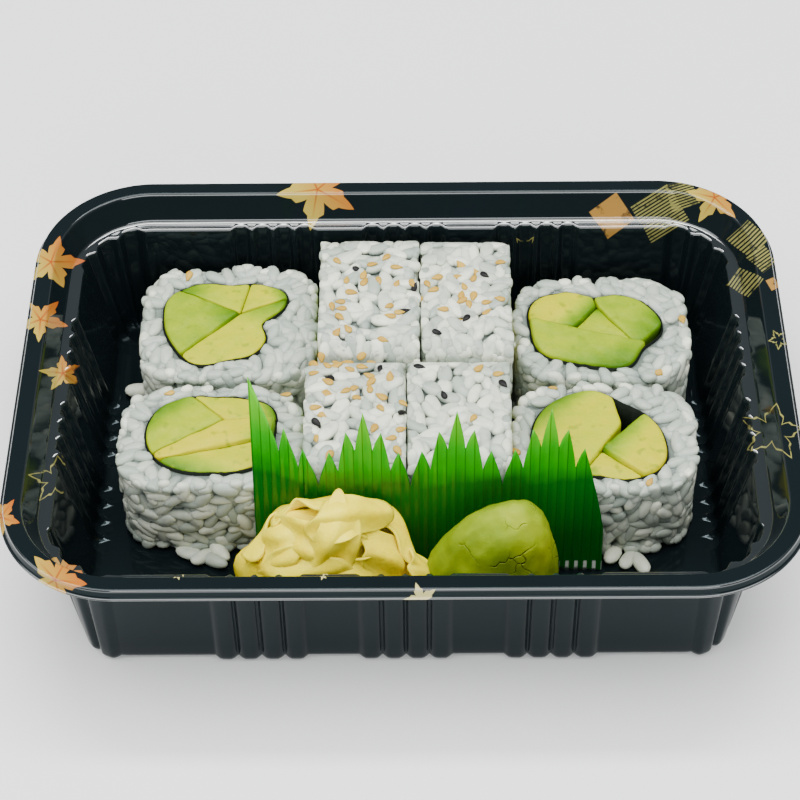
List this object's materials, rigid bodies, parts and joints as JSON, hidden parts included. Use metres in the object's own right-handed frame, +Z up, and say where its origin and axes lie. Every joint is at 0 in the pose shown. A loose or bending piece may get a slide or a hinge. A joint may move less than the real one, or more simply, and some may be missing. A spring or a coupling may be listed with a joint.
{
  "type": "takeaway sushi tray",
  "caption": "Fluted black plastic tray filled with inside-out avocado rolls, a green grass divider, a heap of pickled ginger and a lump of wasabi.",
  "frame": {"origin": "under the middle of the tray's base, on the surface that it stands on", "axes": "+X along the tray's long side, to the viewer's right; +Y towards the rear rim; +Z up"},
  "size_m": [0.1868, 0.1358, 0.056],
  "materials": {
    "black_plastic": "glossy black thermoformed sheet with a printed leaf pattern",
    "rice": "cooked rice, moist and slightly translucent",
    "nori": "dried seaweed, near black, satin",
    "avocado": "ripe avocado flesh, pale yellow to green, moist",
    "green_film": "translucent green plastic film with fine ribs",
    "ginger": "pickled ginger slices, pale yellow, wet and translucent",
    "wasabi": "wasabi paste, yellow-green, dull and finely cracked"
  },
  "bodies": {
    "root": {"tray": "black_plastic", "front_left_rice": "rice", "front_left_nori": "nori", "front_left_avocado_left": "avocado", "front_left_avocado_rear": "avocado", "front_left_avocado_middle": "avocado", "front_left_avocado_front": "avocado", "rear_left_rice": "rice", "rear_left_nori": "nori", "rear_left_avocado_left": "avocado", "rear_left_avocado_rear": "avocado", "rear_left_avocado_right": "avocado", "rear_left_avocado_front": "avocado", "rear_right_rice": "rice", "rear_right_nori": "nori", "rear_right_avocado_left": "avocado", "rear_right_avocado_right": "avocado", "rear_right_avocado_middle": "avocado", "rear_right_avocado_front": "avocado", "front_right_rice": "rice", "front_right_nori": "nori", "front_right_avocado_left": "avocado", "front_right_avocado_right": "avocado", "front_right_avocado_front": "avocado", "rear_mid_left_rice": "rice", "rear_mid_left_nori": "nori", "rear_mid_left_avocado_low": "avocado", "rear_mid_left_avocado_high": "avocado", "rear_mid_right_rice": "rice", "rear_mid_right_nori": "nori", "rear_mid_right_avocado_low": "avocado", "rear_mid_right_avocado_high": "avocado", "front_mid_left_rice": "rice", "front_mid_left_nori": "nori", "front_mid_left_avocado_low": "avocado", "front_mid_left_avocado_high": "avocado", "front_mid_right_rice": "rice", "front_mid_right_nori": "nori", "front_mid_right_avocado_low": "avocado", "front_mid_right_avocado_high": "avocado", "baran": "green_film", "ginger": "ginger", "wasabi": "wasabi"}
  },
  "joints": []
}
